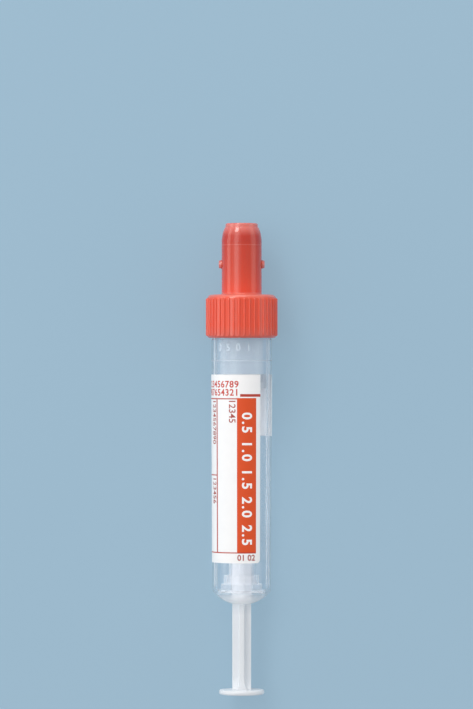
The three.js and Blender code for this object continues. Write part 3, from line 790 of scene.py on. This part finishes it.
def rod_shells():
    """Four fins carried along the axis, their flanks flaring in a quarter of an ellipse onto the
    thumb disc, then the snap-off neck, the head held in the piston, and the disc."""
    rise = 1 - np.cos(np.linspace(0, np.pi / 2, 14))
    heights = np.concatenate([
        [DISC_TOP - DISC_THICKNESS / 2], DISC_TOP + GUSSET_HEIGHT * rise,
        np.linspace(DISC_TOP + GUSSET_HEIGHT + 2, FIN_TOP, 24)])
    left = np.clip(1 - (heights - DISC_TOP) / GUSSET_HEIGHT, 0, 1)
    thick = FIN_THICKNESS + 2 * GUSSET_REACH * (1 - np.sqrt(1 - left ** 2))
    flat = np.stack([cross_section(fin) for fin in thick])
    tall = np.broadcast_to(heights[:, None, None], (*flat.shape[:2], 1))
    fins = carried(np.concatenate([flat, tall], -1))
    bottom = DISC_TOP - DISC_THICKNESS
    disc = turned(rounded([
        [0, bottom, 0], [DISC_RADIUS, bottom, DISC_ROUND],
        [DISC_RADIUS, DISC_TOP, DISC_ROUND], [0, DISC_TOP, 0]], closed=False), 128)
    head = turned(rounded([
        [0, FIN_TOP - SNAP_LENGTH, 0], [SNAP_RADIUS, FIN_TOP - SNAP_LENGTH, 0],
        [SNAP_RADIUS, ROD_HEAD_BOTTOM, 0.08], [ROD_HEAD_RADIUS, ROD_HEAD_BOTTOM, 0.1],
        [ROD_HEAD_RADIUS, ROD_HEAD_TOP, 0.4], [0, ROD_HEAD_TOP, 0]], closed=False), 64)
    return [fins, disc, head]


# ------------------------------------------------------------------ label
INK_RED = srgb(186, 62, 48)
INK_BAND = srgb(224, 80, 28)
STRIP = 0.12  # width of the strips of a numeral, as a share of its type size


def label_radius(height):
    """Radius of the paper's inner side at a height."""
    return tube_radius(height) + LABEL_CLEARANCE


def label_sheet():
    """A thin closed sheet round the tube: rows of height by columns of angle, at the label's radius
    and again one thickness out, joined along the border. Its bottom edge rises in a quarter circle
    at the right corner, and it stops at the step to the left of the window edge. Its flat places
    are [arc from the front, height] in millimetres."""
    narrow = np.linspace(LABEL_LEFT, LABEL_WINDOW, 41)
    wide = np.linspace(LABEL_WINDOW, LABEL_RIGHT - LABEL_BEND, 155)[1:]
    corner = LABEL_RIGHT - LABEL_BEND * (1 - np.sin(np.linspace(0, np.pi / 2, 25)))[1:]
    angle = np.concatenate([narrow, wide, corner])
    to_edge = np.radians(LABEL_RIGHT - angle) * tube_radius(LABEL_BOTTOM)
    inside = np.clip(LABEL_CORNER - to_edge, 0, LABEL_CORNER)
    low = LABEL_BOTTOM + LABEL_CORNER - np.sqrt(LABEL_CORNER ** 2 - inside ** 2)
    up = np.linspace(0, 1, 25)[:, None]
    rows = np.concatenate([low + (LABEL_STEP - low) * up,
                           LABEL_STEP + (LABEL_TOP - LABEL_STEP) * up[1:] + 0 * angle])
    turned_by = np.radians(angle) + 0 * rows
    quads = grid(*rows.shape, False, False)
    left_of_window = (quads % rows.shape[1]).max(1) < len(narrow)
    below_step = (quads // rows.shape[1]).max(1) < len(up)
    quads = quads[~(left_of_window & below_step)]
    used, quads = np.unique(quads, return_inverse=True)
    quads = quads.reshape(-1, 4)
    turned_by, rows = turned_by.ravel()[used], rows.ravel()[used]
    radius = label_radius(rows)
    sheets = [np.stack([r * np.sin(turned_by), r * np.cos(turned_by), rows], 1)
              for r in (radius, radius + LABEL_THICKNESS)]
    sides = np.concatenate([quads[:, [i, (i + 1) % 4]] for i in range(4)])
    keys, counts = np.unique(np.sort(sides, axis=1), axis=0, return_counts=True)
    border = {tuple(key) for key in keys[counts == 1].tolist()}
    count = len(used)
    rim = [[start, stop, stop + count, start + count] for start, stop in sides.tolist()
           if (min(start, stop), max(start, stop)) in border]
    faces = (quads + count).tolist() + quads[:, ::-1].tolist() + rim
    flat = np.stack([turned_by * TUBE_RADIUS, rows], 1)
    return (np.concatenate(sheets), faces), np.concatenate([flat, flat])


# Printed fields: [left degrees, right degrees, bottom, top, ink], heights in millimetres
PRINT = [
    (-9.0, 28.4, 11.06, 44.29, INK_BAND),
    (-110.0, -9.0, 44.0, 44.25, INK_RED),
    (-55.8, -52.6, 11.1, 44.1, INK_RED),
    (-110.0, 28.4, 11.06, 11.3, INK_RED),
    (-3.0, 37.6, 44.56, 45.14, INK_RED),
    (-110.0, -55.0, 27.65, 27.88, INK_RED),
]


def label_paper():
    """White coated paper with printed fields and a faint fibre grain, thin enough that light passes
    into the tube."""
    finish = Finish("label_paper").set(IOR=1.45)
    where = finish.nodes.new("ShaderNodeUVMap")
    where.uv_map = "print"
    split = finish.nodes.new("ShaderNodeSeparateXYZ")
    finish.join(where.outputs["UV"], split.inputs[0])
    around, height = split.outputs["X"], split.outputs["Y"]
    cloud = finish.noise(500, 4)
    colour = finish.mix(cloud, srgb(246, 247, 248), srgb(253, 253, 253))

    def between(place, low, high):
        off = finish.math("ABSOLUTE", finish.math("SUBTRACT", place, (low + high) / 2))
        return finish.math("LESS_THAN", off, (high - low) / 2)

    for left, right, bottom, top, field_ink in PRINT:
        left, right = (np.radians([left, right]) * TUBE_RADIUS).tolist()
        share = finish.times(between(around, left, right), between(height, bottom, top))
        colour = finish.mix(share, colour, field_ink)
    finish.skin(colour, finish.noise(1600, 3), 0.42, 0.6, finish.noise(5000, 4), 0.004)
    finish.see_through(0.0, lamps=1.0, thin=True)
    return finish.material


def ink(name, low, high):
    """Printing ink, a little uneven."""
    finish = Finish(name)
    cloud = finish.noise(2500, 3)
    finish.skin(finish.mix(cloud, low, high), cloud, 0.4, 0.55, finish.noise(5000, 3), 0.003)
    return finish.material


def numerals(text, tall, bold=0.0, thick=0.01, spacing=1.0):
    """Raised plain numerals as a closed shell, cut into narrow strips so that they can bend. Flat
    points are [along, up, out] in millimetres, tall being the height of a figure."""
    curve = bpy.data.curves.new("numerals", "FONT")
    curve.body = text
    curve.offset = bold
    curve.extrude = 0.5
    curve.resolution_u = 4
    curve.space_character = spacing
    holder = bpy.data.objects.new("numerals", curve)
    bpy.context.scene.collection.objects.link(holder)
    mesh = bpy.data.meshes.new_from_object(
        holder.evaluated_get(bpy.context.evaluated_depsgraph_get()))
    bpy.data.objects.remove(holder)
    shape = bmesh.new()
    shape.from_mesh(mesh)
    bmesh.ops.remove_doubles(shape, verts=shape.verts, dist=1e-4)
    low = np.min([v.co for v in shape.verts], axis=0)
    high = np.max([v.co for v in shape.verts], axis=0)
    for axis, normal in enumerate([(1, 0, 0), (0, 1, 0)]):
        for cut in np.arange(low[axis], high[axis], STRIP):
            bmesh.ops.bisect_plane(
                shape, geom=shape.verts[:] + shape.edges[:] + shape.faces[:],
                plane_co=(cut, cut, 0), plane_no=normal)
    shape.verts.index_update()
    points = np.array([v.co for v in shape.verts])
    faces = [[v.index for v in face.verts] for face in shape.faces]
    shape.free()
    scale = tall / (high[1] - low[1])
    points = (points - [low[0], low[1], 0]) * [scale, scale, thick]
    return points, faces


def wrapped(shell, degrees, height, downward=False, radius=None):
    """Flat numerals bent round the tube from an angle in degrees and a height: an arc of length s
    turns by s / TUBE_RADIUS. They lie on the label unless a radius is given. Upright figures run to
    the right; downward ones run towards the base with their tops to the right."""
    points, faces = shell
    along, up, lift = points.T
    arc_length, tall = (up, height - along) if downward else (along, height + up)
    if radius is None:
        radius = label_radius(tall) + LABEL_THICKNESS
    turned_by = np.radians(degrees) + arc_length / TUBE_RADIUS
    radius = radius + lift
    return np.stack([radius * np.sin(turned_by), radius * np.cos(turned_by), tall], 1), faces


# ------------------------------------------------------------------ the object
piece("tube_barrel", tube_shells(), "barrel", clear_plastic(), "tube")
piece("cap_moulding", cap_shells(), "cap", red_plastic(), "screw_cap", sharp=50)
piece("membrane", membrane_shells(), "stopper", membrane_rubber(),
      "membrane_stopper")
piece("piston_cup", piston_shells(), "plunger",
      milky_plastic("milky_plastic", 0.86), "piston")
piece("plunger_stem", rod_shells(), "plunger", white_plastic(), "plunger_rod")
sheet, flat = label_sheet()
piece("label_sheet", [sheet], "barrel", label_paper(), "label", flat=flat)
white_ink = ink("white_ink", srgb(250, 250, 250), srgb(255, 255, 255))
dark_ink = ink("dark_ink", srgb(160, 60, 48), srgb(176, 74, 60))
piece("scale_numerals", [
    wrapped(numerals("0.5 1.0 1.5 2.0 2.5", 2.26, bold=0.028, spacing=1.26), 0.2, 41.2,
            downward=True)],
    "barrel", white_ink)
piece("field_numerals", [
    wrapped(numerals("12345", 1.5, bold=0.01), -24.9, 43.7, downward=True),
    wrapped(numerals("1234567890", 1.4, bold=0.01), -70.0, 43.6, downward=True),
    wrapped(numerals("123456", 1.4, bold=0.01), -70.0, 27.0, downward=True),
    wrapped(numerals("01 02", 1.3, bold=0.02), -8.5, 9.5)],
    "barrel", dark_ink)
piece("heading_numerals", [
    wrapped(numerals("123456789", 1.5, bold=0.02, spacing=1.1), -88.0, 46.5),
    wrapped(numerals("987654321", 1.5, bold=0.02, spacing=1.1), -90.5, 44.75)],
    "barrel", ink("red_ink", srgb(196, 58, 44), srgb(208, 66, 50)))
frosted = milky_plastic("frosted_plastic", 0.7)
bead = arc(TUBE_RADIUS - 0.02, BEAD_HEIGHT, BEAD_RADIUS, 0, 315, 7)
piece("moulded_bead", [turned(bead, 252)], "barrel", frosted)
piece("moulded_numerals", [
    wrapped(numerals("0 5 0 1", 1.5, thick=0.12, spacing=1.26), -50.0, 54.4,
            radius=TUBE_RADIUS - 0.06)],
    "barrel", frosted)


# ------------------------------------------------------------------ floor and light
FLOOR_HALF = 1.5  # metres from its middle to its edge
FLOOR_GAP = 0.00002  # metres under the object
LAMP_AIM = 40.0  # millimetres up the tube
LAMP_COLOUR = (1.0, 0.975, 0.95)
SKY_COLOUR = (0.98, 0.985, 1.0, 1.0)
SKY_LEVEL = 0.53


def floor_finish():
    """Plain pale floor paint. Over half of what is seen of it is its plain colour, so that the
    tube's shadow on it stays soft, and all of it is where eight clear walls stand before it."""
    finish = Finish("floor_paint")
    cloud = finish.noise(8, 2)
    colour = finish.mix(cloud, srgb(156, 186, 206), srgb(160, 189, 208))
    finish.join(colour, finish.shader.inputs["Base Color"])
    finish.set(Roughness=0.9, Specular_IOR_Level=0.1)
    plain = finish.nodes.new("ShaderNodeEmission")
    finish.join(colour, plain.inputs["Color"])
    path = finish.nodes.new("ShaderNodeLightPath")
    seen = finish.math("MAXIMUM", path.outputs["Is Camera Ray"], finish.math(
        "MAXIMUM", path.outputs["Is Glossy Ray"], path.outputs["Is Transmission Ray"]))
    mixed = finish.nodes.new("ShaderNodeMixShader")
    walls = finish.math("GREATER_THAN", path.outputs["Transparent Depth"], 7.5)
    finish.join(finish.times(seen, finish.math("MULTIPLY_ADD", walls, 0.4, 0.6)),
                mixed.inputs["Fac"])
    finish.join(finish.shader.outputs[0], mixed.inputs[1])
    finish.join(plain.outputs[0], mixed.inputs[2])
    finish.join(mixed.outputs[0], finish.out.inputs["Surface"])
    return finish.material


def softbox(name, side, rise, distance, wide, tall, radiance):
    """A soft lamp aimed at LAMP_AIM on the tube's axis, so many metres away, and seen from there at
    so many degrees to the side and up the tube."""
    side, rise = np.radians([side, rise])
    way = (np.sin(side) * np.cos(rise) * RIGHT + np.cos(side) * np.cos(rise) * FORWARD
           + np.sin(rise) * AXIS)
    middle = laid_down([[0, 0, LAMP_AIM]])[0]
    data = bpy.data.lights.new(name, "AREA")
    data.shape, data.size, data.size_y = "RECTANGLE", wide, tall
    data.energy = radiance * np.pi * wide * tall
    data.color = LAMP_COLOUR
    lamp = bpy.data.objects.new(name, data)
    across = np.cross(AXIS, way)
    across /= np.linalg.norm(across)
    matrix = np.eye(4)
    matrix[:3, 0], matrix[:3, 1] = across, np.cross(way, across)
    matrix[:3, 2], matrix[:3, 3] = way, middle + way * distance
    lamp.matrix_world = Matrix(matrix.tolist())
    lamp.visible_camera = False
    bpy.context.scene.collection.objects.link(lamp)


corners = np.array([[-1.0, -1.0], [1.0, -1.0], [1.0, 1.0], [-1.0, 1.0]]) * FLOOR_HALF
floor_mesh = bpy.data.meshes.new("floor")
floor_mesh.from_pydata([(x, y, -FLOOR_GAP) for x, y in corners], [], [(0, 1, 2, 3)])
floor_mesh.materials.append(floor_finish())
floor = bpy.data.objects.new("floor", floor_mesh)
bpy.context.scene.collection.objects.link(floor)

# Name, degrees to the side, degrees up the tube, distance, width, height, radiance
for lamp_values in [
    ("key_softbox", -33.0, 12.0, 0.95, 1.05, 0.8, 0.4),
    ("key_middle", -31.0, 12.0, 0.9, 0.4, 0.6, 1.25),
    ("top_softbox", -36.0, 45.0, 0.95, 0.28, 0.28, 8.0),
    ("crown_softbox", -12.0, 72.0, 0.95, 0.55, 0.55, 2.6),
    ("left_softbox", -82.0, 8.0, 0.95, 0.45, 1.1, 1.4),
    ("side_softbox", 72.0, 10.0, 0.95, 0.5, 1.2, 0.75),
]:
    softbox(*lamp_values)

world = bpy.data.worlds.new("studio")
bpy.context.scene.world = world
world.use_nodes = True
sky = world.node_tree.nodes["Background"].inputs
sky["Color"].default_value, sky["Strength"].default_value = SKY_COLOUR, SKY_LEVEL
bpy.context.scene.view_settings.view_transform = "Standard"
